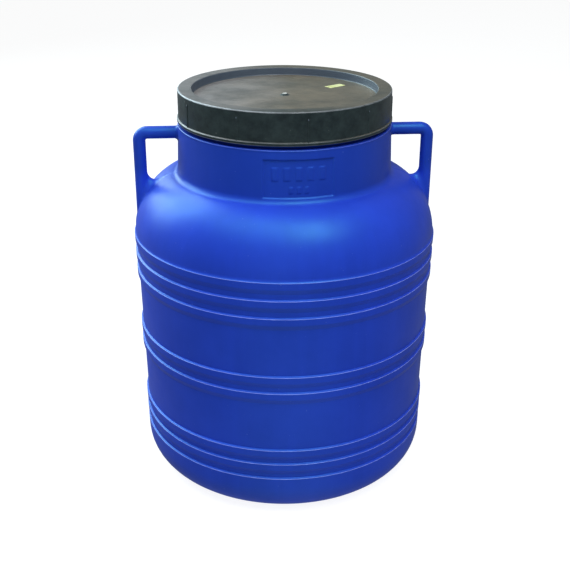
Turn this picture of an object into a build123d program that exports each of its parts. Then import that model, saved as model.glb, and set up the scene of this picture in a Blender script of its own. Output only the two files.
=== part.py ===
"""Wide-mouth plastic drum with two side handles, a screw lid and its seal.

The origin is the centre of the base, +Z is up. The embossed panel on the neck
faces nearly -Y and the handles lie along +X and -X. All lengths are in millimetres.
"""
from build123d import *
import math
import os

os.makedirs("parts", exist_ok=True)

# ---- driving dimensions ----
overall_height = 530.0  # floor to the top of the closed lid

foot_radius = 155.0  # outside of the ring that the drum stands on
foot_width = 17.0
foot_roundings = [6.0, 3.0]  # at the raised base, then at the ring's inner edge
base_push_up = 5.0  # the base is raised inside the foot ring
base_thickness = 4.5
base_slope = 12.0  # run of the slope from the foot ring up to the raised base
heel_height = 48.0  # height of the rounded corner above the floor
heel_radius = 198.0  # body radius where that corner ends
heel_thickness = 5.5
floor_rounding = 6.0  # inside the drum, at both ends of the base's slope

hoop_tops = [60.7, 82.9, 104.0, 188.8, 212.1, 293.0, 316.8, 340.7]
hoop_height = 15.5
hoop_depth = 2.5
hoop_ledge = 1.3  # height of the crisp upper edge
hoop_face = 9.0  # straight part below that edge
crest_rounding = 0.5
ledge_rounding = 0.8
soft_rounding = 4.0  # at both ends of the soft underside
lowest_hoop_radius = 198.3
top_hoop_radius = 203.0

shoulder_centre = (133.0, 338.0)  # radius and height
shoulder_reach = 68.5
shoulder_rise = 82.0
wall_thickness = 4.0

neck_base_radius = 142.0
neck_top_radius = 139.7
neck_top = 484.0
neck_ledge_rise = 1.5  # slope of the ledge on top of the plain neck
inner_neck_top = 470.0
thread_root_radius = 131.2
mouth_radius = 126.0
mouth_low = 482.0  # bottom of the straight bore
mouth_high = 512.0  # the lip opens out a little above this
mouth_lead = 1.2
lip_top = 523.2
lip_middle = 129.2  # radius halfway across the lip
neck_fillet = 8.0  # where the neck meets the shoulder
neck_top_rounding = 1.2
thread_root_rounding = 1.5
lip_rounding = 1.2
inner_neck_rounding = 5.0  # inside the neck, under the bore

panel_middle = -87.3  # degrees; the panel isn't quite square with the handles
panel_half_angle = 18.1  # degrees, seen from the drum's axis
panel_low = 425.0
panel_high = 473.0
panel_depth = 1.2
panel_clearance = 5.0  # the block that cuts the recess ends this far outside the neck
mark_height = 0.6
mark_rooting = 0.4  # the raised marks start this far under the recessed face
# count, spacing and half width in degrees, low and high edge of each row of marks
mark_rows = [
    (5, 6.0, 1.6, 447.0, 460.0),
    (3, 4.0, 0.9, 431.0, 439.0),
]

thread_pitch = 12.0
thread_depth = 3.0
thread_base = 5.0
thread_crest = 2.6
thread_turns = 1.8
thread_start = 493.5
thread_rooting = 0.6  # the ridges start this far inside their wall
lid_thread_angle = 135.0
thread_play = 0.6  # axial gap between the two threads when the lid is tight

handle_diameter = 16.5
handle_height = 472.2  # centre of the level bar
handle_radius = 190.2  # centre of the upright bar, from the drum's axis
handle_bend = 10.5

lid_top_radius = 138.4
lid_wall = 3.2
flange_radius = 140.1
flange_low = 489.2
flange_high = 493.7
flange_slope = 0.8
recess_radius = 120.4
recess_depth = 11.0
recess_draft = 1.0
recess_rounding = 2.0
rim_inner_rounding = 1.2
rim_outer_rounding = 1.8
flange_root_rounding = 0.5
flange_upper_rounding = 0.6
flange_lower_rounding = 1.0
skirt_foot_rounding = 0.8
channel_rounding = 1.0
disc_lower_rounding = 2.5
rib_count = 10
rib_width = 2.4
rib_proud = 0.9
rib_top = 521.6
rib_first_angle = -118.8
gate_pad_radius = 5.5
gate_pad_height = 0.8
gate_radius = 3.4
gate_height = 2.0

gasket_inner_radius = 124.6
gasket_outer_radius = 133.0
gasket_gap = 0.2
gasket_rounding = 0.6

sticker_length = 26.4
sticker_width = 12.4
sticker_thickness = 0.3
sticker_centre = (71.4, 46.3)
sticker_turn = 33.1


# ---- worked-out shapes ----
def between(height, low, high, at_low, at_high):
    """The value at a height, on a straight line from low to high."""
    return at_low + (height - low) / (high - low) * (at_high - at_low)


def hoop_radius(height):
    """Radius of the hoops' crests, which follows the body's slight taper."""
    return between(height, hoop_tops[0], hoop_tops[-1], lowest_hoop_radius, top_hoop_radius)


def plain_radius(height):
    """Radius of the body between the hoops."""
    return hoop_radius(height) - hoop_depth


def shoulder_angle(radius, inset=0.0):
    """Angle on the shoulder's ellipse at a radius, in degrees above level."""
    return math.degrees(math.acos((radius - shoulder_centre[0]) / (shoulder_reach - inset)))


def shoulder_point(radius, inset=0.0):
    """Radius and height of the domed shoulder, or of its inside at an inset."""
    rise = math.sin(math.radians(shoulder_angle(radius, inset)))
    return (radius, shoulder_centre[1] + (shoulder_rise - inset) * rise)


def neck_radius(height):
    """Radius of the plain neck, which narrows a little upwards."""
    return between(height, neck_foot[1], neck_top, neck_base_radius, neck_top_radius)


def wall_outline():
    """Corners and their rounding, from the heel up past every hoop."""
    corners = [(heel_radius, heel_height), (hoop_radius(hoop_tops[0]), hoop_tops[0])]
    rounding = [crest_rounding]
    for lower, top in zip(hoop_tops, hoop_tops[1:]):
        corners.append((plain_radius(lower), lower + hoop_ledge))
        corners.append((plain_radius(top - hoop_height), top - hoop_height))
        corners.append((hoop_radius(top - hoop_face), top - hoop_face))
        corners.append((hoop_radius(top), top))
        rounding += [ledge_rounding, soft_rounding, soft_rounding, crest_rounding]
    corners.append(shoulder_low)
    return corners, rounding


neck_foot = shoulder_point(neck_base_radius)
inner_neck_foot = shoulder_point(neck_base_radius - wall_thickness, wall_thickness)
ledge_angle = math.degrees(math.asin((hoop_tops[-1] + hoop_ledge - shoulder_centre[1]) / shoulder_rise))
shoulder_low = (
    shoulder_centre[0] + shoulder_reach * math.cos(math.radians(ledge_angle)),
    hoop_tops[-1] + hoop_ledge,
)
foot_inner = foot_radius - foot_width
inner_foot_radius = foot_radius - wall_thickness

# ---- the drum's outside, from the axis at the base to the middle of the lip ----
wall_corners, wall_rounding = wall_outline()
with BuildLine() as outside:
    FilletPolyline(
        (0, base_push_up),
        (foot_inner - base_slope, base_push_up),
        (foot_inner, 0),
        (foot_radius, 0),
        radius=foot_roundings,
    )
    EllipticalCenterArc(
        (foot_radius, heel_height),
        heel_radius - foot_radius,
        heel_height,
        start_angle=270,
        arc_size=90,
    )
    FilletPolyline(*wall_corners, radius=wall_rounding)
    EllipticalCenterArc(
        shoulder_centre,
        shoulder_reach,
        shoulder_rise,
        start_angle=ledge_angle,
        arc_size=shoulder_angle(neck_base_radius) - ledge_angle,
    )
    FilletPolyline(
        neck_foot,
        (neck_top_radius, neck_top),
        (thread_root_radius, neck_top + neck_ledge_rise),
        (thread_root_radius, lip_top),
        (lip_middle, lip_top),
        radius=[neck_top_rounding, thread_root_rounding, lip_rounding],
    )

# ---- the drum's inside, from the middle of the lip down to the axis ----
with BuildLine() as inside:
    FilletPolyline(
        (lip_middle, lip_top),
        (mouth_radius + mouth_lead, lip_top),
        (mouth_radius, mouth_high),
        (mouth_radius, mouth_low),
        (neck_radius(inner_neck_top) - wall_thickness, inner_neck_top),
        inner_neck_foot,
        radius=[lip_rounding, 0, 0, inner_neck_rounding],
    )
    inner_shoulder = EllipticalCenterArc(
        shoulder_centre,
        shoulder_reach - wall_thickness,
        shoulder_rise - wall_thickness,
        start_angle=shoulder_angle(neck_base_radius - wall_thickness, wall_thickness),
        arc_size=-shoulder_angle(neck_base_radius - wall_thickness, wall_thickness),
    )
    inner_heel = EllipticalCenterArc(
        (inner_foot_radius, heel_height),
        heel_radius - inner_foot_radius - heel_thickness,
        heel_height - base_thickness,
        start_angle=0,
        arc_size=-90,
    )
    Line(inner_shoulder @ 1, inner_heel @ 0)
    FilletPolyline(
        inner_heel @ 1,
        (foot_inner + base_thickness, base_thickness),
        (foot_inner - base_slope + base_thickness, base_push_up + base_thickness),
        (0, base_push_up + base_thickness),
        radius=floor_rounding,
    )


def neck_sector(middle, half_angle, low, high, inner, outer):
    """A curved block about the drum's axis, set in from or proud of the neck."""
    start = math.radians(middle - half_angle)
    start_plane = Plane(
        origin=(0, 0, 0),
        x_dir=(math.cos(start), math.sin(start), 0),
        z_dir=(math.sin(start), -math.cos(start), 0),
    )
    with BuildPart() as sector:
        with BuildSketch(start_plane):
            with BuildLine():
                Polyline(
                    (neck_radius(low) + inner, low),
                    (neck_radius(low) + outer, low),
                    (neck_radius(high) + outer, high),
                    (neck_radius(high) + inner, high),
                    close=True,
                )
            make_face()
        revolve(axis=Axis.Z, revolution_arc=2 * half_angle)
    return sector.part


def thread_ridge(root_radius, proud, start_height, turns):
    """One helical ridge on a wall, outward where proud is positive."""
    rooted = -math.copysign(thread_rooting, proud)
    with BuildPart() as ridge:
        with BuildLine(Plane.XY.offset(start_height)) as path:
            Helix(thread_pitch, thread_pitch * turns, root_radius)
        with BuildSketch(Plane(origin=path.line @ 0, x_dir=(1, 0, 0), z_dir=(0, -1, 0))):
            with BuildLine():
                Polyline(
                    (rooted, -thread_base / 2),
                    (proud, -thread_crest / 2),
                    (proud, thread_crest / 2),
                    (rooted, thread_base / 2),
                    close=True,
                )
            make_face()
        sweep(path=path.line, is_frenet=True)
    return ridge.part


# ---- drum shell: one moulding with the hoops, shoulder, threaded neck and panel ----
neck_ridge = thread_ridge(thread_root_radius, thread_depth, thread_start, thread_turns)
panel_recess = neck_sector(
    panel_middle, panel_half_angle, panel_low, panel_high, -panel_depth, panel_clearance
)
marks = []
for row_count, row_pitch, mark_half_angle, mark_low, mark_high in mark_rows:
    for place in range(row_count):
        middle = panel_middle + (place - (row_count - 1) / 2) * row_pitch
        marks.append(
            neck_sector(
                middle,
                mark_half_angle,
                mark_low,
                mark_high,
                -panel_depth - mark_rooting,
                mark_height - panel_depth,
            )
        )

with BuildPart() as drum_shell:
    with BuildSketch(Plane.XZ) as shell_section:
        with BuildLine():
            add(outside.line)
            add(inside.line)
            Line((0, base_push_up + base_thickness), (0, base_push_up))
        make_face()
        fillet(shell_section.vertices().sort_by_distance(neck_foot)[0], neck_fillet)
    revolve(axis=Axis.Z)
    add(neck_ridge)
    add(panel_recess, mode=Mode.SUBTRACT)
    add(marks)
drum_shell.part.label = "drum_shell"
export_step(drum_shell.part, "parts/drum_shell.step")

# ---- handles: round bars from the neck, bent down on to the shoulder ----
with BuildPart() as drum_envelope:
    with BuildSketch(Plane.XZ) as envelope_section:
        with BuildLine():
            add(outside.line)
            Polyline((lip_middle, lip_top), (0, lip_top), (0, base_push_up))
        make_face()
        fillet(envelope_section.vertices().sort_by_distance(neck_foot)[0], neck_fillet)
    revolve(axis=Axis.Z)

with BuildPart() as handle_right:
    with BuildLine(Plane.XZ) as handle_path:
        FilletPolyline(
            (thread_root_radius, handle_height),
            (handle_radius, handle_height),
            (handle_radius, shoulder_centre[1]),
            radius=handle_bend,
        )
    with BuildSketch(Plane.YZ.offset(thread_root_radius)):
        with Locations((0, handle_height)):
            Circle(handle_diameter / 2)
    sweep(path=handle_path.line)
    add(drum_envelope.part, mode=Mode.SUBTRACT)
handle_right.part.label = "handle_right"
export_step(handle_right.part, "parts/handle_right.step")

with BuildPart() as handle_left:
    mirror(handle_right.part, about=Plane.YZ)
handle_left.part.label = "handle_left"
export_step(handle_left.part, "parts/handle_left.step")

# ---- screw lid: recessed disc, ribbed skirt, flange and inner thread ----
skirt_inner_radius = lid_top_radius - lid_wall
lid_ridge = thread_ridge(
    skirt_inner_radius,
    -thread_depth,
    thread_start - thread_base - thread_play + thread_pitch * lid_thread_angle / 360,
    thread_turns,
)
recess_floor = overall_height - recess_depth
lid_roundings = [
    recess_rounding,
    rim_inner_rounding,
    rim_outer_rounding,
    flange_root_rounding,
    flange_upper_rounding,
    flange_lower_rounding,
    skirt_foot_rounding,
    channel_rounding,
    channel_rounding,
    disc_lower_rounding,
]

with BuildPart() as screw_lid:
    with BuildSketch(Plane.XZ):
        with BuildLine():
            FilletPolyline(
                (0, recess_floor),
                (recess_radius - recess_draft, recess_floor),
                (recess_radius, overall_height),
                (lid_top_radius, overall_height),
                (lid_top_radius, flange_high),
                (flange_radius, flange_high - flange_slope),
                (flange_radius, flange_low),
                (skirt_inner_radius, flange_low),
                (skirt_inner_radius, overall_height - lid_wall),
                (recess_radius + lid_wall, overall_height - lid_wall),
                (recess_radius - recess_draft + lid_wall, recess_floor - lid_wall),
                (0, recess_floor - lid_wall),
                radius=lid_roundings,
            )
            Line((0, recess_floor - lid_wall), (0, recess_floor))
        make_face()
    revolve(axis=Axis.Z)
    add(lid_ridge, rotation=(0, 0, lid_thread_angle))
    with BuildSketch(Plane.XY.offset(flange_high - flange_slope)):
        with PolarLocations(lid_top_radius, rib_count, start_angle=rib_first_angle):
            Rectangle(2 * rib_proud, rib_width)
    extrude(amount=rib_top - flange_high + flange_slope)
    with BuildSketch(Plane.XY.offset(recess_floor)):
        Circle(gate_pad_radius)
    extrude(amount=gate_pad_height)
    with BuildSketch(Plane.XY.offset(recess_floor)):
        Circle(gate_radius)
    extrude(amount=gate_height)
screw_lid.part.label = "screw_lid"
export_step(screw_lid.part, "parts/screw_lid.step")

# ---- sealing ring in the lid's channel, above the drum's lip ----
with BuildPart() as lid_gasket:
    with BuildSketch(Plane.XY.offset(lip_top + gasket_gap)):
        Circle(gasket_outer_radius)
        Circle(gasket_inner_radius, mode=Mode.SUBTRACT)
    extrude(amount=overall_height - lid_wall - lip_top - 2 * gasket_gap)
    fillet(lid_gasket.edges().filter_by(GeomType.CIRCLE), gasket_rounding)
lid_gasket.part.label = "lid_gasket"
export_step(lid_gasket.part, "parts/lid_gasket.step")

# ---- paper sticker on the lid's disc ----
with BuildPart() as lid_sticker:
    with BuildSketch(Plane.XY.offset(recess_floor)):
        with Locations(Location(sticker_centre, sticker_turn)):
            Rectangle(sticker_length, sticker_width)
    extrude(amount=sticker_thickness)
lid_sticker.part.label = "lid_sticker"
export_step(lid_sticker.part, "parts/lid_sticker.step")
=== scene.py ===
"""Looks of the wide-mouth drum: shell, handles, screw lid, gasket and sticker.

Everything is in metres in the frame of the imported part: the drum's axis is Z, the
base is at z = 0, the embossed panel faces -Y and the handles lie along +X and -X.
"""
import math

import bpy
import numpy as np
from mathutils import Matrix, Vector


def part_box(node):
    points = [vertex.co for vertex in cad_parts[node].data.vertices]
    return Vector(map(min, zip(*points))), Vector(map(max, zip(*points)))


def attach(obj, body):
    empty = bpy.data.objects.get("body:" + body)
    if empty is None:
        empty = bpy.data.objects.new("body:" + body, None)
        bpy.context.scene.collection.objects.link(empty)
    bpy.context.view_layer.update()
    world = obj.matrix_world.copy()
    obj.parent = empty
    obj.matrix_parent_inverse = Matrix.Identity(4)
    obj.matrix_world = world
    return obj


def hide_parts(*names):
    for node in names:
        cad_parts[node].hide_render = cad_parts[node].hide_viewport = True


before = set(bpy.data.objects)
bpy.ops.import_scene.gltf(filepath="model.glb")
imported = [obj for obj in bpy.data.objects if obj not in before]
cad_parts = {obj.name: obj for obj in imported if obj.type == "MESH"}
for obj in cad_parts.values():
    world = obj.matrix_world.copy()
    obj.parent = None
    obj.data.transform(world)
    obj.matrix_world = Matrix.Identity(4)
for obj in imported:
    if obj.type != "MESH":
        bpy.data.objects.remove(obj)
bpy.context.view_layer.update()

MM = 0.001
TURN = 2 * np.pi
COLUMN_STEP = 2.5  # degrees between a turned surface's columns where nothing needs finer ones
POINT_SIZE = 1e-9  # a grid row smaller than this has shrunk to a point
NEAR = 0.1 * MM  # an outline's point this close to a wall's radius or height lies on that wall

# ---- places read from the frame ----
LID_LOW, LID_HIGH = (corner.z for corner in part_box("screw_lid"))
LIP_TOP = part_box("drum_shell")[1].z
BODY_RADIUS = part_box("drum_shell")[1].x
LID_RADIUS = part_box("screw_lid")[1].x
HANDLE_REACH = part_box("handle_right")[1].x
HANDLE_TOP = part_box("handle_right")[1].z
HANDLE_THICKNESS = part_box("handle_right")[1].y * 2
GASKET_LOW, GASKET_HIGH = (corner.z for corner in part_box("lid_gasket"))
STICKER_LOW, STICKER_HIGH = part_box("lid_sticker")

# ---- drum shell ----
FOOT_RADIUS = 155 * MM
FOOT_WIDTH = 17 * MM
FOOT_ROUNDINGS = [6 * MM, 3 * MM]  # at the raised base, then at the ring's inner edge
BASE_PUSH_UP = 5 * MM
BASE_SLOPE = 12 * MM
BASE_THICKNESS = 4.5 * MM
HEEL_HEIGHT = 48 * MM
HEEL_RADIUS = 198 * MM
HEEL_THICKNESS = 5.5 * MM
FLOOR_ROUNDING = 6 * MM  # inside the drum
HOOP_TOPS = np.array([60.7, 82.9, 104.0, 188.8, 212.1, 293.0, 316.8, 340.7]) * MM
HOOP_HEIGHT = 15.5 * MM
HOOP_DEPTH = 2.5 * MM
HOOP_LEDGE = 1.3 * MM
HOOP_FACE = 9 * MM
CREST_ROUNDING = 0.7 * MM
HOOP_ROUNDINGS = [0.8 * MM, 4 * MM, 4 * MM, CREST_ROUNDING]  # ledge, soft underside's two ends, crest
LOWEST_HOOP_RADIUS = 198.3 * MM
SHOULDER_CENTRE = np.array([133, 338]) * MM
SHOULDER_RADII = np.array([68.5, 82]) * MM
WALL = 4 * MM
NECK_FOOT_RADIUS = 142 * MM
SHOULDER_STOP = 8 * MM  # the shoulder's ellipse ends this far outside the neck
NECK_FOOT_RISE = 1.4 * MM
NECK_ROUNDINGS = [9 * MM, 1.2 * MM, 1.5 * MM, 1.2 * MM]  # neck's foot and top, thread's root, lip
NECK_TOP_RADIUS = 139.7 * MM
NECK_TOP = 484 * MM
NECK_LEDGE_RISE = 1.5 * MM
NECK_EDGE = NECK_TOP - 3 * MM  # the waves fade out above this height, and the edge wear and its painted highlight are faint
FAINT_WEAR_AND_HIGHLIGHT = 0.15
THREAD_ROOT_RADIUS = 131.2 * MM
LIP_MIDDLE = 129.2 * MM
MOUTH_RADIUS = 126 * MM
MOUTH_HIGH = 512 * MM
MOUTH_LOW = 482 * MM
MOUTH_LEAD = 1.2 * MM
MOUTH_ROUNDINGS = [1.2 * MM, 0.5 * MM, 0.5 * MM, 5 * MM]  # lip, bore's top and bottom, inner neck
INNER_NECK_TOP = 470 * MM
PANEL_ROWS = 0.9 * MM  # the outline's largest steps across the panel, the thread and the body
THREAD_ROWS = 1.0 * MM
BODY_ROWS = 12 * MM
WALL_WAVES = ((2, 9, 0.4), (3, -14, 2.1), (5, 21, 4.0), (7, -31, 1.2))  # a turn, a metre up, phase
WAVE_HEIGHT = 0.12 * MM
WAVE_PEAK = 1.3  # no sum of the waves is higher, before WAVE_HEIGHT
WALL_SINK = 0.3 * MM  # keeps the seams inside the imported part's outline
SEAM_WIDTH = 0.7 * MM
SEAM_COLUMNS = np.radians(np.array([-0.45, -0.3, -0.2, 0.2, 0.3, 0.45]))

# ---- threads, the same helix on the neck and in the lid ----
THREAD_PITCH = 12 * MM
THREAD_DEPTH = 2.9 * MM
THREAD_BASE = 4.8 * MM
THREAD_CREST = 2.4 * MM
THREAD_TURNS = 1.8
THREAD_START = 493.5 * MM
LID_THREAD_DROP = 5.6 * MM
LID_THREAD_LEAD = 0.375  # turns by which the lid's thread starts later
THREAD_FADE = 20 / 360  # turns over which each end of a ridge sinks into its wall

# ---- panel on the neck ----
PANEL_MIDDLE = math.radians(-87.3)
PANEL_HALF_ANGLE = math.radians(18.1)
PANEL_LOW = 425 * MM
PANEL_HIGH = 473 * MM
PANEL_DEPTH = 1.6 * MM
PANEL_EDGE = 0.8 * MM  # width of its upper and lower slopes
PANEL_SOFTNESS = math.radians(0.45)  # width of its side slopes
PANEL_COLUMNS = np.radians(np.arange(-18.9, 18.91, 0.45))
MARK_HEIGHT = 0.9 * MM
# each row's count, spacing and half width in degrees, low and high edge in millimetres
MARK_ROWS = ((5, 6.0, 1.6, 447, 463), (3, 4.0, 0.9, 431, 439))

# ---- handles ----
HANDLE_BEND = 10.5 * MM
BAR_RADIUS = HANDLE_THICKNESS / 2
BAR_HEIGHT = HANDLE_TOP - BAR_RADIUS
BAR_REACH = HANDLE_REACH - BAR_RADIUS
BAR_COLUMNS = 48
BEND_RINGS = 13
NECK_FLARE = 4 * MM
FOOT_FLARE = 7 * MM
FOOT_FLARE_SHIFT = 4 * MM  # more towards the neck, and less on the outside
FLARE_EDGE = 0.7 * MM  # the flare's last ring lies this far past the wall's tangent ring
FLARE_SINK = 0.5 * MM
CAP_DEPTH = 2 * MM
LONGEST_BAR = 160 * MM
HALVINGS = 26  # of LONGEST_BAR, which leaves far less than a micrometre

# ---- lid ----
LID_WALL = 3.2 * MM
SKIRT_RADIUS = LID_RADIUS - 1.7 * MM
FLANGE_HIGH = LID_LOW + 4.5 * MM
FLANGE_SLOPE = 0.8 * MM
FLANGE_FOOT = LID_RADIUS - 2 * MM  # the lid's outer outline ends here and its inner one begins
RECESS_RADIUS = 120.4 * MM
RECESS_DEPTH = 11 * MM
RECESS_DRAFT = 1 * MM
RECESS_FLOOR = LID_HIGH - RECESS_DEPTH
DISC_EDGE = 112 * MM  # where the flat disc ends, before the recess's rounded corner
DISC_RINGS = 26
DISC_SAG = 0.12 * MM
SAG_FULL = (30 * MM, DISC_EDGE - 12 * MM)  # the disc's unevenness fades out inside and outside these
SAG_END = DISC_EDGE + 4 * MM
LID_ROWS = 1.0 * MM
# at the recess's floor and rim, the rim's outside, the flange's root, upper and lower edge
LID_ROUNDINGS = [2 * MM, 1.2 * MM, 1.8 * MM, 0.5 * MM, 0.6 * MM, 1.0 * MM]
# inside: at the skirt's foot, the channel's two corners and under the disc
LID_INNER_ROUNDINGS = [0.8 * MM, 1.0 * MM, 1.0 * MM, 2.5 * MM]
GATE_HEIGHT = 2.0 * MM
GATE_RADIUS = 3.4 * MM
GATE_FOOT = (3.9 * MM, 0.7 * MM)  # radius, and height above the disc
PAD_EDGE = (5.5 * MM, 0.5 * MM)
PAD_RADIUS = 6.2 * MM
GATE_CLEAR = 12 * MM  # the plain disc begins here
GATE_ROUNDINGS = [0.5 * MM, 0.3 * MM, 0.3 * MM, 0.4 * MM]
RIB_COUNT = 10
RIB_WIDTH = 2.4 * MM
RIB_PROUD = 0.9 * MM
RIB_TOP = 521.6 * MM
RIB_FIRST_ANGLE = math.radians(-118.8)
RIB_FADE = 0.9 * MM  # height over which a rib rounds off at its top
RIB_FLAT = 0.55  # the share of a rib's half width that is at full height
RIB_COLUMNS = np.radians(np.array([-0.9, -0.5, -0.38, -0.26, 0, 0.26, 0.38, 0.5, 0.9]))

# painted light and dust on the lid's surface, from -1 for a bare painted shadow to 1 for a pale painted
# glint
WALL_REFLECTION = 0.6  # a painted reflection of the sky on the recess's wall
TIP_GLINT = 1.0  # a painted glint on the gate's tip
RING_SHADOW = -1.0  # a painted shadow round the gate, where no dust lies
RIM_HAZE = -0.3
# a painted glint on the rib tops, where they catch the light
RIB_TOP_GLINT = 0.9

# ---- gasket and sticker ----
GASKET_INNER = 124.6 * MM
GASKET_OUTER = 133 * MM
GASKET_ROUNDING = 0.6 * MM
GASKET_CREASE = 0.7 * MM  # depth of the hollows beside its two beads
GASKET_SIDE = 0.9 * MM  # height of its lower edges above the beads
BEAD_FULLNESS = 0.6  # the power of the sine that shapes the beads: 1 is plain, less is fuller
STICKER_LENGTH = 26.2 * MM
STICKER_WIDTH = 12.2 * MM
STICKER_THICKNESS = 0.16 * MM
STICKER_GAP = 0.04 * MM
STICKER_LIFT = 0.25 * MM
STICKER_TURN = math.radians(33.1)


# ---- outlines: radius and height, as arrays of shape (points, 2) ----
def arc_path(centre, radii, start, end, count):
    """Points on an ellipse: centre + radii * (cos a, sin a), a from start to end degrees."""
    angle = np.radians(np.linspace(start, end, count))[:, None]
    return np.asarray(centre) + np.asarray(radii) * np.hstack([np.cos(angle), np.sin(angle)])


def rounded_path(corners, rounding, steps=4, guard=1.2 * MM):
    """Straight runs with tangent arcs at the inner corners.

    Each arc turns about the point on the corner's bisector that is one rounding from
    both runs. A guard point beside each arc keeps the flat runs' shading flat.
    """
    corners = np.asarray(corners, float)
    path = [corners[:1]]
    for before, corner, after, radius in zip(corners, corners[1:], corners[2:], rounding):
        run_in = (before - corner) / np.linalg.norm(before - corner)
        run_out = (after - corner) / np.linalg.norm(after - corner)
        half = math.acos(float(np.clip(run_in @ run_out, -1, 1))) / 2
        reach = radius / math.tan(half)
        middle = run_in + run_out
        centre = corner + middle / np.linalg.norm(middle) * radius / math.sin(half)
        start = corner + run_in * reach - centre
        end = corner + run_out * reach - centre
        sweep = np.pi - 2 * half
        share = np.linspace(0, 1, steps + 1)[:, None]
        arc = (np.sin((1 - share) * sweep) * start + np.sin(share * sweep) * end) / math.sin(sweep)
        ahead = np.array([corner + run_in * (reach + guard)])
        behind = np.array([corner + run_out * (reach + guard)])
        path += [ahead, centre + arc, behind]
    path.append(corners[-1:])
    return in_order(np.vstack(path))


def in_order(path):
    """The path without the guard points that fall back behind a neighbouring arc."""
    step = np.diff(path, axis=0)
    heading = np.sum(step[1:] * step[:-1], axis=1)
    kept = np.ones(len(path), bool)
    kept[1:-1] = heading > 0
    return path[kept]


def refined(path, low, high, spacing):
    """The path with the runs that pass between two heights cut into steps of at most spacing."""
    pieces = []
    for start, end in zip(path[:-1], path[1:]):
        reached = max(start[1], end[1]) > low and min(start[1], end[1]) < high
        count = max(1, math.ceil(np.linalg.norm(end - start) / spacing)) if reached else 1
        pieces.append(start + (end - start) * np.arange(count)[:, None] / count)
    return np.vstack(pieces + [path[-1:]])


def smooth_step(value, low, high):
    """0 below low and 1 above high, joined by the cubic 3t^2 - 2t^3."""
    share = np.clip((value - low) / (high - low), 0, 1)
    return share * share * (3 - 2 * share)


def plateau(value, half_width, edge):
    """1 within half_width of zero, falling to 0 over the width edge outside it."""
    return 1 - smooth_step(np.abs(value), half_width, half_width + edge)


# ---- meshes ----
def mesh_piece(name, points, wrap_rows=False, attributes=None):
    """A closed or open grid of quads from an array of shape (rows, columns, 3).

    Columns always join round. A first or last row that has shrunk to one point
    becomes a single vertex with a fan of triangles.
    """
    rows, columns = points.shape[:2]
    first = 1 if np.ptp(points[0], axis=0).max() < POINT_SIZE else 0
    last = rows - 1 if np.ptp(points[-1], axis=0).max() < POINT_SIZE else rows
    body = points[first:last].reshape(-1, 3)
    poles = ([points[0, 0]] if first else []) + ([points[-1, 0]] if last < rows else [])
    vertices = np.vstack([body] + [np.array([p]) for p in poles])
    count = last - first
    grid = np.arange(count * columns).reshape(count, columns)
    lower = grid[:-1] if not wrap_rows else grid
    upper = grid[1:] if not wrap_rows else np.roll(grid, -1, axis=0)
    quads = np.stack(
        [lower, np.roll(lower, -1, axis=1), np.roll(upper, -1, axis=1), upper], axis=-1
    ).reshape(-1, 4)
    fans = []
    pole = len(body)
    if first:
        fans.append(np.stack([np.full(columns, pole), np.roll(grid[0], -1), grid[0]], axis=1))
        pole += 1
    if last < rows:
        fans.append(np.stack([np.full(columns, pole), grid[-1], np.roll(grid[-1], -1)], axis=1))
    mesh = bpy.data.meshes.new(name)
    faces = quads.tolist() + [face for fan in fans for face in fan.tolist()]
    mesh.from_pydata(vertices, [], faces)
    mesh.polygons.foreach_set("use_smooth", np.ones(len(mesh.polygons), bool))
    for key, values in (attributes or {}).items():
        flat = values[first:last].reshape(-1)
        ends = ([values[0, 0]] if first else []) + ([values[-1, 0]] if last < rows else [])
        layer = mesh.attributes.new(key, "FLOAT", "POINT")
        layer.data.foreach_set("value", np.append(flat, ends).astype(np.float32))
    mesh.update()
    piece = bpy.data.objects.new(name, mesh)
    bpy.context.scene.collection.objects.link(piece)
    return piece


def fine_angles(coarse_step, centres, offsets):
    """Angles round the axis: even steps of coarse_step degrees, and finer ones by each centre."""
    coarse = np.radians(np.arange(0, 360, coarse_step))
    fine = (np.asarray(centres)[:, None] + np.asarray(offsets)[None, :]).ravel() % TURN
    near = np.abs((coarse[:, None] - np.asarray(centres)[None, :] + np.pi) % TURN - np.pi)
    clear = (near > np.abs(offsets).max() + math.radians(coarse_step) / 2).all(axis=1)
    return np.unique(np.round(np.append(coarse[clear], fine), 7))


def turned(path, angles, shift):
    """The outline turned about Z, with the radius of each point moved out by shift."""
    radius = path[:, :1] + shift
    height = np.repeat(path[:, 1:], len(angles), axis=1)
    return np.stack([radius * np.cos(angles), radius * np.sin(angles), height], axis=-1)


def edge_wear_and_highlight(path, shift, left=1):
    """From 0 on flats to 1 where the outline turns crisply, to its left or, for left = -1, right: edge
    wear and its painted highlight.
    """
    step = np.diff(path, axis=0)
    heading = np.unwrap(np.arctan2(step[:, 1], step[:, 0]))
    length = np.linalg.norm(step, axis=1)
    shortest = 0.001 * MM
    unworn, worn_and_lit = 0.3, 0.55  # radians of turn in a millimetre
    bend = np.zeros(len(path))
    bend[1:-1] = np.diff(heading) / np.maximum((length[1:] + length[:-1]) / 2, shortest)
    wear_and_highlight = smooth_step(left * bend * MM, unworn, worn_and_lit)
    return np.repeat(wear_and_highlight[:, None], shift.shape[1], axis=1)


def thread_height(angles, heights, drop, lead):
    """Height of the helical ridge above its root, for each height (rows) and angle (columns).

    The ridge's centre climbs one pitch a turn from THREAD_START - drop. Its section is
    a flat crest with sloping flanks, and its two ends sink into the wall.
    """
    ridge = np.zeros((len(heights), len(angles)))
    flank = (THREAD_BASE - THREAD_CREST) / 2
    end = lead + THREAD_TURNS
    for lap in range(math.ceil(THREAD_TURNS + lead) + 1):
        turns = angles / TURN + lap
        centre = THREAD_START - drop + THREAD_PITCH * turns
        ends = smooth_step(turns, lead, lead + THREAD_FADE)
        ends = ends * (1 - smooth_step(turns, end - THREAD_FADE, end))
        away = np.abs(heights[:, None] - centre[None, :])
        section = 1 - smooth_step(away, THREAD_CREST / 2, THREAD_CREST / 2 + flank)
        ridge = np.maximum(ridge, section * ends[None, :])
    return ridge * THREAD_DEPTH


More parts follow.
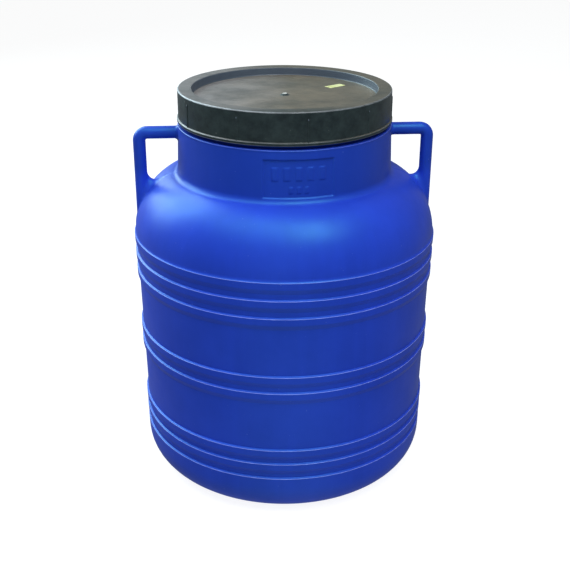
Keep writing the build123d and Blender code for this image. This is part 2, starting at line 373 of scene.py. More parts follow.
# ---- drum shell ----
def hoop_radius(height):
    """Radius of the hoops' crests: a straight taper from the lowest hoop to the top one."""
    share = (height - HOOP_TOPS[0]) / (HOOP_TOPS[-1] - HOOP_TOPS[0])
    return LOWEST_HOOP_RADIUS + share * (BODY_RADIUS - LOWEST_HOOP_RADIUS)


def ellipse_angle(radius, centre, radii):
    """Degrees above level at which an ellipse has this radius."""
    return math.degrees(math.acos((radius - centre[0]) / radii[0]))


def shell_outside():
    """Outline from the base's centre over the hoops, shoulder and neck to the lip's middle."""
    foot_inner = FOOT_RADIUS - FOOT_WIDTH
    foot = rounded_path(
        [(0, BASE_PUSH_UP), (foot_inner - BASE_SLOPE, BASE_PUSH_UP), (foot_inner, 0), (FOOT_RADIUS, 0)],
        FOOT_ROUNDINGS,
    )
    heel = arc_path(
        (FOOT_RADIUS, HEEL_HEIGHT), (HEEL_RADIUS - FOOT_RADIUS, HEEL_HEIGHT), 270, 360, 16
    )
    corners = [(HEEL_RADIUS, HEEL_HEIGHT), (hoop_radius(HOOP_TOPS[0]), HOOP_TOPS[0])]
    rounding = [CREST_ROUNDING]
    for lower, top in zip(HOOP_TOPS, HOOP_TOPS[1:]):
        corners += [
            (hoop_radius(lower) - HOOP_DEPTH, lower + HOOP_LEDGE),
            (hoop_radius(top - HOOP_HEIGHT) - HOOP_DEPTH, top - HOOP_HEIGHT),
            (hoop_radius(top - HOOP_FACE), top - HOOP_FACE),
            (hoop_radius(top), top),
        ]
        rounding += HOOP_ROUNDINGS
    ledge = HOOP_TOPS[-1] + HOOP_LEDGE
    ledge_angle = math.degrees(math.asin((ledge - SHOULDER_CENTRE[1]) / SHOULDER_RADII[1]))
    neck_angle = ellipse_angle(NECK_FOOT_RADIUS + SHOULDER_STOP, SHOULDER_CENTRE, SHOULDER_RADII)
    shoulder = arc_path(SHOULDER_CENTRE, SHOULDER_RADII, ledge_angle, neck_angle, 30)
    corners.append(tuple(shoulder[0]))
    wall = rounded_path(corners, rounding, steps=3, guard=0.9 * MM)
    neck_foot = arc_path(SHOULDER_CENTRE, SHOULDER_RADII, neck_angle, 90, 2)[0]
    neck = rounded_path(
        [
            neck_foot,
            (NECK_FOOT_RADIUS, neck_foot[1] + NECK_FOOT_RISE),
            (NECK_TOP_RADIUS, NECK_TOP),
            (THREAD_ROOT_RADIUS, NECK_TOP + NECK_LEDGE_RISE),
            (THREAD_ROOT_RADIUS, LIP_TOP),
            (LIP_MIDDLE, LIP_TOP),
        ],
        NECK_ROUNDINGS,
        steps=6,
    )
    outside = np.vstack([foot[:-1], heel[:-1], wall[:-1], shoulder[:-1], neck])
    outside = refined(outside, PANEL_LOW, PANEL_HIGH, PANEL_ROWS)
    outside = refined(outside, THREAD_START, LIP_TOP - 4 * MM, THREAD_ROWS)
    return refined(outside, HEEL_HEIGHT, PANEL_LOW, BODY_ROWS)


def shell_inside():
    """Outline from the lip's middle down the inside of the wall to the middle of the floor."""
    inner_radii = SHOULDER_RADII - WALL
    neck_foot = NECK_FOOT_RADIUS - WALL
    neck_angle = ellipse_angle(neck_foot, SHOULDER_CENTRE, inner_radii)
    shoulder = arc_path(SHOULDER_CENTRE, inner_radii, neck_angle, 0, 14)
    heel_centre = (FOOT_RADIUS - WALL, HEEL_HEIGHT)
    heel_radii = (HEEL_RADIUS - HEEL_THICKNESS - heel_centre[0], HEEL_HEIGHT - BASE_THICKNESS)
    heel = arc_path(heel_centre, heel_radii, 0, -90, 10)
    foot_inner = FOOT_RADIUS - FOOT_WIDTH + BASE_THICKNESS
    mouth = rounded_path(
        [
            (LIP_MIDDLE, LIP_TOP),
            (MOUTH_RADIUS + MOUTH_LEAD, LIP_TOP),
            (MOUTH_RADIUS, MOUTH_HIGH),
            (MOUTH_RADIUS, MOUTH_LOW),
            (NECK_TOP_RADIUS - WALL, INNER_NECK_TOP),
            tuple(shoulder[0]),
        ],
        MOUTH_ROUNDINGS,
    )
    floor = rounded_path(
        [
            tuple(heel[-1]),
            (foot_inner, BASE_THICKNESS),
            (foot_inner - BASE_SLOPE, BASE_PUSH_UP + BASE_THICKNESS),
            (0, BASE_PUSH_UP + BASE_THICKNESS),
        ],
        [FLOOR_ROUNDING, FLOOR_ROUNDING],
    )
    return np.vstack([mouth[:-1], shoulder[:-1], heel[:-1], floor])


def panel_relief(angles, heights):
    """Radial change on the neck's front: a sunk panel with two rows of plain raised bars."""
    across = (angles - PANEL_MIDDLE + np.pi) % TURN - np.pi
    middle = (PANEL_LOW + PANEL_HIGH) / 2
    wide = plateau(across, PANEL_HALF_ANGLE - PANEL_SOFTNESS, PANEL_SOFTNESS)[None, :]
    tall = plateau(heights - middle, (PANEL_HIGH - PANEL_LOW) / 2 - PANEL_EDGE, PANEL_EDGE)[:, None]
    relief = -PANEL_DEPTH * wide * tall
    for count, pitch, half, low, high in MARK_ROWS:
        for place in range(count):
            centre = math.radians((place - (count - 1) / 2) * pitch)
            half_width = math.radians(half) - PANEL_SOFTNESS / 2
            half_height = (high - low) / 2 * MM - PANEL_EDGE / 2
            bar = plateau(across - centre, half_width, PANEL_SOFTNESS)[None, :]
            stretch = plateau(heights - (low + high) / 2 * MM, half_height, PANEL_EDGE)[:, None]
            relief += MARK_HEIGHT * bar * stretch
    return relief


def wall_waves(angle, height):
    """Radial change of the moulded wall: a sum of sines, kept 0.3 to 0.6 mm inside the outline."""
    waves = np.zeros_like(angle)
    for number, (turns, rise, phase) in enumerate(WALL_WAVES):
        waves += np.sin(turns * angle + rise * height + phase) / (number + 2)
    return WAVE_HEIGHT * (waves - WAVE_PEAK) - WALL_SINK


def mould_relief(angles, heights):
    """Radial change for each height (rows) and angle (columns): the waves and two mould seams.

    The seams are highest on the shoulder, and fade into the neck.
    """
    angle, height = np.meshgrid(angles, heights)
    half = SEAM_WIDTH / BODY_RADIUS
    seam = sum(plateau((angle - place + np.pi) % TURN - np.pi, half, half) for place in (0, np.pi))
    on_shoulder = smooth_step(height, HOOP_TOPS[-1] + 3 * MM, HOOP_TOPS[-1] + 12 * MM)
    on_neck = smooth_step(height, PANEL_LOW - 12 * MM, PANEL_LOW)
    on_body, shoulder_gain, neck_loss = 0.3, 0.35, 0.45  # the ridge's height, in millimetres
    ridge = on_body + shoulder_gain * on_shoulder - neck_loss * on_neck
    return wall_waves(angle, height) + ridge * MM * seam


def make_shell():
    """The whole moulding as one closed surface: outside, lip and inside turned about Z."""
    outside = shell_outside()
    inside = shell_inside()
    angles = fine_angles(COLUMN_STEP, [PANEL_MIDDLE], PANEL_COLUMNS)
    angles = np.concatenate([angles, SEAM_COLUMNS % TURN, SEAM_COLUMNS + np.pi])
    angles = np.unique(np.round(angles, 7))
    heights = outside[:, 1]
    on_wall = smooth_step(heights, HEEL_HEIGHT / 2, HEEL_HEIGHT) * (
        1 - smooth_step(heights, NECK_EDGE, NECK_TOP)
    )
    shift = mould_relief(angles, heights) * on_wall[:, None]
    shift += panel_relief(angles, heights)
    on_thread = (np.abs(outside[:, 0] - THREAD_ROOT_RADIUS) < NEAR)[:, None]
    shift += thread_height(angles, heights, 0.0, 0.0) * on_thread
    path = np.vstack([outside, inside[1:]])
    shift = np.vstack([shift, np.zeros((len(inside) - 1, len(angles)))])
    # edge wear and painted highlight, faint on the neck's top under the lid
    wear_and_highlight = edge_wear_and_highlight(path, shift) * np.where(path[:, 1:] < NECK_EDGE, 1, FAINT_WEAR_AND_HIGHLIGHT)
    points = turned(path, angles, shift)
    shell = mesh_piece("drum_shell_moulding", points, attributes={"edge": wear_and_highlight})
    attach(shell, "drum")
    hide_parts("drum_shell")
    return shell


# ---- handles ----
def shell_distance(points, outline):
    """Distance of each point from the drum's outside, negative inside it, and the way out."""
    reach = np.hypot(points[:, 0], points[:, 1])
    seen = np.stack([reach, points[:, 2]], axis=1)
    start, run = outline[:-1], np.diff(outline, axis=0)
    share = np.einsum("ijk,jk->ij", seen[:, None] - start[None], run) / np.sum(run**2, axis=1)
    nearest = start[None] + np.clip(share, 0, 1)[..., None] * run[None]
    closest = np.linalg.norm(seen[:, None] - nearest, axis=2).argmin(axis=1)
    offset = seen - nearest[np.arange(len(seen)), closest]
    outward = np.stack([run[:, 1], -run[:, 0]], axis=1)[closest]
    distance = np.linalg.norm(offset, axis=1) * np.sign(np.sum(offset * outward, axis=1))
    way = offset / np.where(distance == 0, 1, distance)[:, None]
    flat_way = way[:, :1] * points[:, :2] / reach[:, None]
    return distance, np.hstack([flat_way, way[:, 1:]])


def flared_end(centre, heading, side, up, rounding, outline, levels=10):
    """Rings where a round bar runs into the drum, from the plain bar to just under the wall.

    A ball of the given rounding rests in the corner between the bar and the wall, once for
    each angle round the bar. Each ring is one step along the balls' arcs, from where they
    touch the bar to where they touch the wall, and it comes to follow the wall's waves.
    One more ring runs on under the wall.
    """
    around = np.linspace(0, TURN, len(rounding), endpoint=False)
    spoke = np.cos(around)[:, None] * side + np.sin(around)[:, None] * up
    start = centre + spoke * (BAR_RADIUS + rounding)[:, None]
    near, far = np.zeros(len(around)), np.full(len(around), LONGEST_BAR)
    for _ in range(HALVINGS):
        middle = (near + far) / 2
        clear = shell_distance(start + middle[:, None] * heading, outline)[0] > rounding
        near, far = np.where(clear, middle, near), np.where(clear, far, middle)
    ball = start + near[:, None] * heading
    way_out = shell_distance(ball, outline)[1]
    sweep = np.arccos(np.clip(np.sum(spoke * way_out, axis=1), -1, 1))[:, None]
    rings = []
    for share in np.linspace(0, 1, levels + 1):
        arc = (np.sin((1 - share) * sweep) * spoke + np.sin(share * sweep) * way_out) / np.sin(sweep)
        ring = ball - rounding[:, None] * arc
        waves = wall_waves(np.arctan2(ring[:, 1], ring[:, 0]), ring[:, 2])
        rings.append(ring + share * waves[:, None] * way_out)
    away = (spoke - np.cos(sweep) * way_out) / np.sin(sweep)
    rings.append(rings[-1] + FLARE_EDGE * away - FLARE_SINK * way_out)
    return rings


def end_cap(ring, outline):
    """One point under the wall, repeated, which closes the bar behind its last ring."""
    middle = np.mean(ring, axis=0)[None]
    distance, way_out = shell_distance(middle, outline)
    return np.repeat(middle - (distance + CAP_DEPTH)[:, None] * way_out, len(ring), axis=0)


def make_handle(name, side, outline):
    """A round bar level out of the neck, bent down and flared on to the shoulder.

    The bend is a quarter torus of radius HANDLE_BEND between the two straight bars. The
    foot's flare is widest towards the neck and narrowest on the outside.
    """
    out, up, across = np.array([float(side), 0, 0]), np.array([0, 0, 1.0]), np.array([0, 1.0, 0])
    around = np.linspace(0, TURN, BAR_COLUMNS, endpoint=False)
    neck_rounding = np.full(BAR_COLUMNS, NECK_FLARE)
    foot_rounding = FOOT_FLARE - FOOT_FLARE_SHIFT * np.cos(around)
    corner = out * (BAR_REACH - HANDLE_BEND) + up * (BAR_HEIGHT - HANDLE_BEND)
    level_start = corner + up * HANDLE_BEND
    upright_start = corner + out * HANDLE_BEND
    neck_end = flared_end(level_start, -out, up, across, neck_rounding, outline)
    foot_end = flared_end(upright_start, -up, out, across, foot_rounding, outline)
    bend = []
    for turn in np.radians(np.linspace(90, 0, BEND_RINGS)):
        spoke = math.cos(turn) * out + math.sin(turn) * up
        ring = np.cos(around)[:, None] * spoke + np.sin(around)[:, None] * across
        bend.append(corner + spoke * HANDLE_BEND + ring * BAR_RADIUS)
    level_bar = [neck_end[0] + (bend[0] - neck_end[0]) * s for s in np.linspace(0.15, 0.85, 5)]
    upright_bar = [bend[-1] + (foot_end[0] - bend[-1]) * s for s in np.linspace(0.1, 0.9, 9)]
    rings = neck_end[::-1] + level_bar + bend + upright_bar + foot_end
    points = np.array([end_cap(rings[0], outline)] + rings + [end_cap(rings[-1], outline)])
    if side < 0:
        points = points[:, ::-1]
    handle = mesh_piece(name, points)
    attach(handle, "drum")
    return handle


# ---- lid ----
def lid_outline():
    """Outline of the lid's upper and outer face, then of its lower and inner face."""
    skirt_inner = SKIRT_RADIUS - LID_WALL
    channel_top = LID_HIGH - LID_WALL
    gate = rounded_path(
        [
            (0, RECESS_FLOOR + GATE_HEIGHT),
            (GATE_RADIUS, RECESS_FLOOR + GATE_HEIGHT),
            (GATE_FOOT[0], RECESS_FLOOR + GATE_FOOT[1]),
            (PAD_EDGE[0], RECESS_FLOOR + PAD_EDGE[1]),
            (PAD_RADIUS, RECESS_FLOOR),
            (GATE_CLEAR, RECESS_FLOOR),
        ],
        GATE_ROUNDINGS,
        steps=3,
        guard=0.3 * MM,
    )
    rings = np.linspace(GATE_CLEAR, DISC_EDGE, DISC_RINGS)
    disc = np.stack([rings, np.full(len(rings), RECESS_FLOOR)], axis=1)
    outer = rounded_path(
        [
            (DISC_EDGE, RECESS_FLOOR),
            (RECESS_RADIUS - RECESS_DRAFT, RECESS_FLOOR),
            (RECESS_RADIUS, LID_HIGH),
            (SKIRT_RADIUS, LID_HIGH),
            (SKIRT_RADIUS, FLANGE_HIGH),
            (LID_RADIUS, FLANGE_HIGH - FLANGE_SLOPE),
            (LID_RADIUS, LID_LOW),
            (FLANGE_FOOT, LID_LOW),
        ],
        LID_ROUNDINGS,
    )
    inner = rounded_path(
        [
            (FLANGE_FOOT, LID_LOW),
            (skirt_inner, LID_LOW),
            (skirt_inner, channel_top),
            (RECESS_RADIUS + LID_WALL, channel_top),
            (RECESS_RADIUS - RECESS_DRAFT + LID_WALL, RECESS_FLOOR - LID_WALL),
            (0, RECESS_FLOOR - LID_WALL),
        ],
        LID_INNER_ROUNDINGS,
    )
    outer = refined(outer, FLANGE_HIGH + MM, LID_HIGH - 3 * MM, LID_ROWS)
    inner = refined(inner, LID_LOW + 2 * MM, channel_top - 2 * MM, LID_ROWS)
    return np.vstack([gate[:-1], disc[:-1], outer]), inner


def rib_relief(angles, heights):
    """Radial change on the skirt: thin upright ribs, even round the lid, rounded off at the top."""
    pitch = TURN / RIB_COUNT
    across = (angles - RIB_FIRST_ANGLE + pitch / 2) % pitch - pitch / 2
    half = RIB_WIDTH / 2 / SKIRT_RADIUS
    ridge = plateau(across, half * RIB_FLAT, half * (1 - RIB_FLAT))
    below_top = 1 - smooth_step(heights, RIB_TOP - RIB_FADE, RIB_TOP)
    return RIB_PROUD * ridge[None, :] * below_top[:, None]


def lid_painted_light_and_dust(path):
    """The painted light and shade and the thinner dust at each point of the outline, 0 where it is plain.
    """
    radius, height = path[:, 0], path[:, 1]
    above = height > RECESS_FLOOR - NEAR
    recess_wall = above & (np.abs(radius - RECESS_RADIUS) < 1.1 * MM)
    recess_wall &= (height > RECESS_FLOOR + 0.8 * MM) & (height < LID_HIGH - 0.5 * MM)
    tip = above & (radius < GATE_RADIUS - 0.2 * MM)
    ring = above & (radius > GATE_RADIUS + 0.2 * MM) & (radius < PAD_RADIUS + 0.3 * MM)
    rim = above & (radius > RECESS_RADIUS + 0.6 * MM)
    return WALL_REFLECTION * recess_wall + TIP_GLINT * tip + RING_SHADOW * ring + RIM_HAZE * rim


def make_lid():
    """Sunk disc, rim, ribbed skirt, flange and inner thread as one closed surface turned about Z."""
    outer, inner = lid_outline()
    centres = RIB_FIRST_ANGLE + TURN / RIB_COUNT * np.arange(RIB_COUNT)
    angles = fine_angles(COLUMN_STEP, centres % TURN, RIB_COLUMNS)
    on_skirt = (np.abs(outer[:, 0] - SKIRT_RADIUS) < NEAR) & (outer[:, 1] < LID_HIGH - 2 * MM)
    outer_shift = rib_relief(angles, outer[:, 1]) * on_skirt[:, None]
    on_disc = smooth_step(outer[:, 0], GATE_CLEAR, SAG_FULL[0])
    on_disc = on_disc * (1 - smooth_step(outer[:, 0], SAG_FULL[1], SAG_END))
    on_bore = np.abs(inner[:, 0] - (SKIRT_RADIUS - LID_WALL)) < NEAR
    inner_shift = -thread_height(angles, inner[:, 1], LID_THREAD_DROP, LID_THREAD_LEAD) * on_bore[:, None]
    path = np.vstack([outer, inner[1:]])
    shift = np.vstack([outer_shift, inner_shift[1:]])
    points = turned(path, angles, shift)
    sag = np.sin(3 * angles + 0.7) + 0.6 * np.sin(5 * angles + 2.0)
    points[: len(outer), :, 2] += DISC_SAG * on_disc[:, None] * sag[None, :]
    # the rib tops get a painted glint
    rib_tops = rib_relief(angles, np.full(len(path), LID_LOW)) > 0.6 * RIB_PROUD
    at_top = np.abs(path[:, 1] - RIB_TOP + RIB_FADE) < 0.7 * MM
    rib_tops &= (at_top & (path[:, 0] > RECESS_RADIUS + 10 * MM))[:, None]
    rib_tops[len(outer) :] = False
    painted_light_and_dust = lid_painted_light_and_dust(path)[:, None] + RIB_TOP_GLINT * rib_tops
    # edge wear and painted highlight, weaker on the rim's inner edges
    wear_and_highlight = edge_wear_and_highlight(path, shift, left=-1) * np.where(path[:, :1] < SKIRT_RADIUS - 4 * MM, 0.3, 1)
    marks = {"edge": wear_and_highlight[::-1], "painted_light_and_dust": painted_light_and_dust[::-1]}
    lid = mesh_piece("screw_lid_moulding", points[::-1], attributes=marks)
    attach(lid, "lid")
    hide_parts("screw_lid")
    return lid


def make_gasket():
    """A flat sealing ring with two rounded beads on its lower face, turned about Z."""
    share = np.linspace(0, 1, 33)
    low = GASKET_LOW + GASKET_CREASE * (1 - np.abs(np.sin(TURN * share)) ** BEAD_FULLNESS)
    low[[0, -1]] = GASKET_LOW + GASKET_SIDE
    bottom = np.stack([GASKET_INNER + (GASKET_OUTER - GASKET_INNER) * share, low], axis=1)
    top = rounded_path(
        [
            tuple(bottom[-1]),
            (GASKET_OUTER, GASKET_HIGH),
            (GASKET_INNER, GASKET_HIGH),
            tuple(bottom[0]),
        ],
        [GASKET_ROUNDING, GASKET_ROUNDING],
    )
    path = np.vstack([bottom[:-1], top[:-1]])
    angles = np.radians(np.arange(0, 360, COLUMN_STEP))
    points = turned(path, angles, np.zeros((len(path), len(angles))))
    gasket = mesh_piece("lid_gasket_ring", points, wrap_rows=True)
    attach(gasket, "seal")
    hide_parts("lid_gasket")
    return gasket


def make_sticker():
    """A thin paper rectangle, a little lifted at one end, as a flat tube with closed ends.

    Along its length the paper rises by STICKER_LIFT times the cube of the share of its
    length from the stuck end. Its section is a loop: out along the top and back underneath.
    """
    centre = (np.array(STICKER_LOW) + np.array(STICKER_HIGH)) / 2
    rows, columns = 25, 13
    along = np.linspace(-0.5, 0.5, rows)
    across = np.append(np.linspace(-0.5, 0.5, columns), np.linspace(0.5, -0.5, columns))
    face = np.append(np.ones(columns), np.zeros(columns))
    u, v = np.meshgrid(along * STICKER_LENGTH, across * STICKER_WIDTH, indexing="ij")
    lift = STICKER_LIFT * np.clip(along + 0.5, 0, 1)[:, None] ** 3
    height = STICKER_LOW.z + STICKER_GAP + STICKER_THICKNESS * face[None, :] + lift
    x = centre[0] + u * math.cos(STICKER_TURN) - v * math.sin(STICKER_TURN)
    y = centre[1] + u * math.sin(STICKER_TURN) + v * math.cos(STICKER_TURN)
    points = np.stack([x, y, height], axis=-1)
    ends = [np.repeat(points[i].mean(axis=0)[None], len(across), axis=0) for i in (0, -1)]
    grid = np.concatenate([ends[0][None], points, ends[1][None]])
    sticker = mesh_piece("lid_sticker_paper", grid[:, ::-1])
    sticker.data.polygons.foreach_set("use_smooth", np.zeros(len(sticker.data.polygons), bool))
    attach(sticker, "lid")
    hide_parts("lid_sticker")
    return sticker


# ---- materials ----
COLOUR_A, COLOUR_B, MIXED_COLOUR = 6, 7, 2  # a Mix node's colour sockets share names with others


class Finish:
    """A material's node tree, with short calls that add nodes and join them."""

    def __init__(self, name, **shader_values):
        self.material = bpy.data.materials.new(name)
        self.material.use_nodes = True
        self.tree = self.material.node_tree
        self.shader = self.tree.nodes["Principled BSDF"]
        self.place = self.node("ShaderNodeTexCoord").outputs["Object"]
        for socket, value in shader_values.items():
            self.shader.inputs[socket.replace("_", " ")].default_value = value

    def node(self, kind, **settings):
        """A new node of this kind with these settings."""
        made = self.tree.nodes.new(kind)
        for key, value in settings.items():
            setattr(made, key, value)
        return made

    def join(self, value, socket):
        """Links an output to a socket, or sets the socket where value is a plain one."""
        if isinstance(value, bpy.types.NodeSocket):
            self.tree.links.new(value, socket)
        else:
            socket.default_value = value

    def stretched(self, x, y, z):
        """Object coordinates scaled along each axis, for streaks."""
        mapping = self.node("ShaderNodeMapping")
        self.join(self.place, mapping.inputs["Vector"])
        mapping.inputs["Scale"].default_value = (x, y, z)
        return mapping.outputs["Vector"]

    def noise(self, scale, detail=3.0, roughness=0.5, place=None):
        """A cloudy pattern about 0.5, on the piece's own coordinates unless place is given."""
        texture = self.node("ShaderNodeTexNoise")
        self.join(self.place if place is None else place, texture.inputs["Vector"])
        texture.inputs["Scale"].default_value = scale
        texture.inputs["Detail"].default_value = detail
        texture.inputs["Roughness"].default_value = roughness
        return texture.outputs["Fac"]

    def band(self, value, low, high, at_low=0.0, at_high=1.0):
        """value between low and high, spread over at_low to at_high and held outside."""
        spread = self.node("ShaderNodeMapRange", clamp=True)
        sockets = ("Value", "From Min", "From Max", "To Min", "To Max")
        for key, part in zip(sockets, (value, low, high, at_low, at_high)):
            self.join(part, spread.inputs[key])
        return spread.outputs["Result"]

    def combine(self, operation, first, second):
        """Two values put through one of the Math node's operations."""
        made = self.node("ShaderNodeMath", operation=operation)
        self.join(first, made.inputs[0])
        self.join(second, made.inputs[1])
        return made.outputs["Value"]

    def product(self, first, *others):
        """All the values multiplied together."""
        for other in others:
            first = self.combine("MULTIPLY", first, other)
        return first

    def mix(self, share, first, second):
        """The first colour where share is 0, the second where it is 1."""
        made = self.node("ShaderNodeMix", data_type="RGBA")
        self.join(share, made.inputs["Factor"])
        self.join(first, made.inputs[COLOUR_A])
        self.join(second, made.inputs[COLOUR_B])
        return made.outputs[MIXED_COLOUR]

    def bump(self, height, distance, strength=1.0, under=None):
        """The normal bent by a height of distance metres, on top of another bump if one is given."""
        made = self.node("ShaderNodeBump")
        made.inputs["Strength"].default_value = strength
        made.inputs["Distance"].default_value = distance
        self.join(height, made.inputs["Height"])
        if under is not None:
            self.join(under, made.inputs["Normal"])
        return made.outputs["Normal"]

    def attribute(self, name):
        """One of the values that the mesh carries at its points."""
        return self.node("ShaderNodeAttribute", attribute_name=name).outputs["Fac"]

    def upward(self):
        """The z part of the surface's normal: 1 on level tops and 0 on upright walls."""
        split = self.node("ShaderNodeSeparateXYZ")
        self.join(self.node("ShaderNodeNewGeometry").outputs["Normal"], split.inputs["Vector"])
        return split.outputs["Z"]

    def along(self, axis):
        """One part of the Object coordinates, in metres."""
        split = self.node("ShaderNodeSeparateXYZ")
        self.join(self.place, split.inputs["Vector"])
        return split.outputs[axis]

    def finish(self, colour, roughness, normal):
        """Joins the last colour, roughness and normal to the shader, and gives the material."""
        self.join(colour, self.shader.inputs["Base Color"])
        self.join(roughness, self.shader.inputs["Roughness"])
        self.join(normal, self.shader.inputs["Normal"])
        return self.material


def blue_polyethylene():
    """Satin blow-moulded blue: cloudiness, upright streaks, pale scuffs, worn edges that also carry a
    painted highlight, and a soft ripple.

    The colour is darker on the neck, above the height where it leaves the shoulder: painted shade under
    the lid's overhang.
    """
    blue = Finish("blue_polyethylene", IOR=1.5, Specular_Tint=(0.20, 0.92, 1.0, 1))
    deep, bright, streak = (0.014, 0.040, 0.48, 1), (0.018, 0.050, 0.56, 1), (0.018, 0.055, 0.62, 1)
    painted_neck_shade, crest, scuffed = (0.006, 0.028, 0.24, 1), (0.33, 0.40, 0.95, 1), (0.22, 0.34, 0.72, 1)
    cloud = blue.band(blue.noise(9, 4, 0.6), 0.35, 0.65)
    colour = blue.mix(cloud, deep, bright)
    streaks = blue.band(blue.noise(60, 5, 0.6, blue.stretched(1, 1, 0.05)), 0.45, 0.75, 0, 0.35)
    colour = blue.mix(streaks, colour, streak)
    # painted shade: the neck is darkened where the lid's overhang keeps the light off it
    on_neck = blue.band(blue.along("Z"), 410 * MM, 428 * MM, 0, 0.4)
    colour = blue.mix(on_neck, colour, painted_neck_shade)
    # edge wear and painted highlight: crests and crisp edges are lightened as if they catch the light
    worn_and_lit = blue.product(blue.attribute("edge"), blue.band(blue.noise(120, 2), 0.3, 0.7, 0.6, 0.95))
    colour = blue.mix(worn_and_lit, colour, crest)
    specks = blue.band(blue.noise(340, 1, 0.3), 0.78, 0.84, 0, 0.3)
    scuffs = blue.band(blue.noise(35, 8, 0.75, blue.stretched(1, 1, 6)), 0.68, 0.82, 0, 0.22)
    colour = blue.mix(blue.combine("MAXIMUM", specks, scuffs), colour, scuffed)
    roughness = blue.band(blue.noise(22, 5, 0.6), 0.3, 0.7, 0.36, 0.46)
    ripple = blue.bump(blue.noise(14, 2, 0.5), 1.6 * MM, 0.35)
    peel = blue.bump(blue.noise(520, 2, 0.5), 0.12 * MM, 0.5, ripple)
    return blue.finish(colour, roughness, peel)


def dust_and_sheen_on_lid(black, painted_light_and_dust):
    """How thick the lid's dust lies, and its colour, which carries a painted sheen.

    It lies on level faces in patches with rubbed streaks, thinner on the front of the rim
    and where the lid's painted light and dust value is below zero: on the rim, and round the gate,
    where its absence paints a dark shadow ring. It is a paler grey on the left, partly a painted
    sheen from the light on that side, and brown in the middle and right.
    """
    sheen_grey, brown = (0.235, 0.222, 0.220, 1), (0.128, 0.108, 0.078, 1)
    level = black.band(black.upward(), 0.6, 0.98)
    patches = black.band(black.noise(16, 7, 0.7), 0.36, 0.64, 0.5, 1.0)
    rubbed = black.band(black.noise(26, 9, 0.8, black.stretched(0.5, 3.5, 1)), 0.54, 0.68, 1.0, 0.62)
    # no dust round the gate, which leaves a painted shadow ring, and less on the rim
    dust_kept_and_ring_shadow = black.band(painted_light_and_dust, RING_SHADOW, 0)
    front = black.band(black.along("Y"), -128 * MM, -112 * MM, 0.35, 1.0)
    wander = black.product(black.noise(9, 4), 0.16)
    # painted sheen: the dust is a paler grey towards the left, where the light falls
    sheen_to_warmth = black.band(black.combine("ADD", black.along("X"), wander), -20 * MM, 100 * MM)
    return black.product(level, patches, rubbed, dust_kept_and_ring_shadow, front), black.mix(sheen_to_warmth, sheen_grey, brown)


def black_polyethylene():
    """Satin black with a green cast, mould grain, dust, a painted sky reflection on the recess wall and
    worn edges.

    The gate has a painted glint on its tip inside a painted dark shadow ring. The worn edges' silver
    painted highlight is brightest on the left, towards the light.
    """
    black = Finish("black_polyethylene", IOR=1.5)
    deep, greenish, painted_sky_reflection = (0.004, 0.012, 0.014, 1), (0.017, 0.032, 0.033, 1), (0.085, 0.11, 0.155, 1)
    bright, silver_wear_and_highlight, speck = (0.52, 0.53, 0.5, 1), (0.38, 0.41, 0.45, 1), (0.3, 0.31, 0.28, 1)
    cloud = black.band(black.noise(70, 7, 0.75), 0.38, 0.62)
    colour = black.mix(cloud, deep, greenish)
    painted_light_and_dust = black.attribute("painted_light_and_dust")
    dust, dust_and_sheen_colour = dust_and_sheen_on_lid(black, painted_light_and_dust)
    colour = black.mix(dust, colour, dust_and_sheen_colour)
    # painted reflection of the sky on the recess wall, also laid under the glints
    colour = black.mix(black.band(painted_light_and_dust, 0, WALL_REFLECTION, 0, 0.65), colour, painted_sky_reflection)
    # painted glint: the gate's tip and the rib tops lightened to a pale grey
    colour = black.mix(black.band(painted_light_and_dust, 0.7, TIP_GLINT), colour, bright)
    uneven = black.band(black.noise(70, 3), 0.3, 0.7, 0.45, 1.0)
    # painted highlight: the silver on the worn edges is strongest on the left, where the light comes from
    painted_light_from_left = black.band(black.along("X"), -130 * MM, 0, 1.0, 0.35)
    colour = black.mix(black.product(black.attribute("edge"), uneven, painted_light_from_left), colour, silver_wear_and_highlight)
    flecks = black.band(black.noise(300, 1, 0.3), 0.78, 0.84, 0, 0.35)
    colour = black.mix(flecks, colour, speck)
    roughness = black.band(black.noise(30, 5, 0.65), 0.3, 0.7, 0.34, 0.5)
    grain = black.bump(black.noise(700, 3, 0.6), 0.15 * MM, 0.6)
    return black.finish(colour, roughness, black.bump(black.noise(20, 3), 1.2 * MM, 0.25, grain))


def sealing_rubber():
    """Dark rubber with a fine matt grain."""
    rubber = Finish("sealing_rubber", IOR=1.5)
    colour = rubber.mix(rubber.noise(90, 3), (0.012, 0.012, 0.013, 1), (0.03, 0.03, 0.032, 1))
    roughness = rubber.band(rubber.noise(60, 3), 0.3, 0.7, 0.55, 0.75)
    return rubber.finish(colour, roughness, rubber.bump(rubber.noise(900, 3), 0.1 * MM, 0.6))


def sticker_paper():
    """Pale yellow paper with greener clouds and a faint fibre."""
    paper = Finish("sticker_paper", IOR=1.45)
    cloud = paper.band(paper.noise(60, 3), 0.35, 0.65)
    colour = paper.mix(cloud, (0.45, 0.47, 0.19, 1), (0.52, 0.53, 0.29, 1))
    roughness = paper.band(paper.noise(400, 3), 0.3, 0.7, 0.6, 0.8)
    return paper.finish(colour, roughness, paper.bump(paper.noise(1500, 3), 0.06 * MM, 0.5))


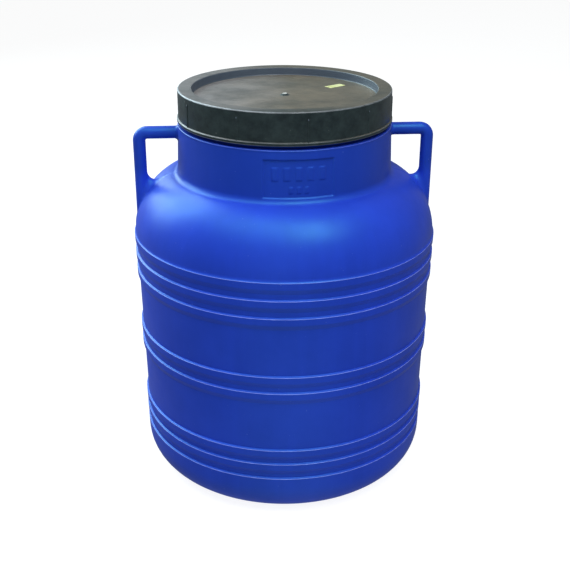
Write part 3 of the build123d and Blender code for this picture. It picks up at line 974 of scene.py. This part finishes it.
# ---- setting ----
def make_floor():
    """A plain pale floor, level for 6 m all round and then curved up into a plain wall."""
    reach, bend, top = 6.0, 2.0, 9.0
    sweep = arc_path((reach, bend), (bend, bend), 270, 360, 24)
    path = np.vstack([[(0, 0), (0.5, 0), (reach / 2, 0)], sweep, [(reach + bend, top)]])
    angles = np.radians(np.arange(0, 360, 5))
    floor = mesh_piece("floor", turned(path, angles, np.zeros((len(path), len(angles))))[::-1])
    pale = bpy.data.materials.new("pale_floor")
    pale.use_nodes = True
    surface = pale.node_tree.nodes["Principled BSDF"].inputs
    surface["Base Color"].default_value = (0.22, 0.22, 0.22, 1)
    surface["Roughness"].default_value = 0.95
    surface["Specular IOR Level"].default_value = 0.0
    surface["Emission Color"].default_value = (1, 1, 1, 1)
    surface["Emission Strength"].default_value = 0.9
    floor.data.materials.append(pale)
    floor.visible_diffuse = False
    floor.visible_glossy = False
    floor.visible_shadow = False


def add_light(name, place, target, size, power, colour, reflected=True):
    """A square soft light that faces its target, and shows in reflections only where reflected."""
    lamp = bpy.data.lights.new(name, "AREA")
    lamp.size = size
    lamp.energy = power
    lamp.color = colour
    light = bpy.data.objects.new(name, lamp)
    light.location = place
    light.visible_glossy = reflected
    light.rotation_euler = direction(place, target).to_track_quat("-Z", "Y").to_euler()
    bpy.context.scene.collection.objects.link(light)


def direction(place, target):
    """The vector from one point to another."""
    return Vector(target) - Vector(place)


def make_light():
    """Broad soft lights behind on the left and in front on the right, weak fills and a dim even sky.

    The two fills from low down don't show in reflections.
    """
    neck, belly, white = (0, 0, 0.4), (0, 0, 0.2), (1.0, 1.0, 1.0)
    add_light("back_left", (-1.43, 1.33, 1.62), neck, 1.9, 76, (0.74, 0.95, 1.0))
    add_light("front_right", (0.46, -1.05, 2.16), neck, 1.2, 32, (0.96, 0.98, 1.0))
    add_light("front_left", (-0.67, -0.57, 2.09), neck, 1.2, 14, (0.95, 0.98, 1.0))
    add_light("low_front", (-0.30, -2.20, 0.50), belly, 1.2, 3, white, reflected=False)
    add_light("bounce", (0.0, -0.90, -1.10), belly, 1.6, 7, white, reflected=False)
    world = bpy.data.worlds.new("sky")
    world.use_nodes = True
    world.node_tree.nodes["Background"].inputs["Color"].default_value = (0.9, 0.96, 1.0, 1)
    world.node_tree.nodes["Background"].inputs["Strength"].default_value = 0.25
    bpy.context.scene.world = world


def make_camera():
    """A camera above and in front, looking down at the drum, a little to the left of its panel."""
    distance, height = 1.2604, 0.8088
    azimuth, yaw, pitch, roll = (math.radians(angle) for angle in (-4.5, 0.06, 23.93, 0.22))
    lens = bpy.data.cameras.new("camera")
    lens.sensor_width = 36.0
    lens.lens = 61.94
    lens.clip_start = 0.05
    camera = bpy.data.objects.new("camera", lens)
    camera.location = (math.sin(azimuth) * distance, -math.cos(azimuth) * distance, height)
    camera.rotation_euler = turned_camera(azimuth, yaw, pitch, roll)
    bpy.context.scene.collection.objects.link(camera)
    bpy.context.scene.camera = camera


def turned_camera(azimuth, yaw, pitch, roll):
    """Euler angles of a camera that looks to the axis, turned right by yaw, down by pitch and rolled."""
    turn = Matrix.Rotation(azimuth - yaw, 3, "Z") @ Matrix.Rotation(math.pi / 2 - pitch, 3, "X")
    return (turn @ Matrix.Rotation(roll, 3, "Z")).to_euler()


def main():
    """Makes every piece and its material, then the setting, the lights and the camera."""
    outline = shell_outside()
    outline = outline[: np.argmax(outline[:, 1] > NECK_TOP - MM)]  # the handles meet only this part
    blue = blue_polyethylene()
    shell = make_shell()
    right = make_handle("handle_right_bar", 1, outline)
    left = make_handle("handle_left_bar", -1, outline)
    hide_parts("handle_right")
    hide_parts("handle_left")
    for piece in (shell, right, left):
        piece.data.materials.append(blue)
    make_lid().data.materials.append(black_polyethylene())
    make_gasket().data.materials.append(sealing_rubber())
    make_sticker().data.materials.append(sticker_paper())
    make_floor()
    make_light()
    make_camera()
    bpy.context.scene.view_settings.view_transform = "Standard"


main()
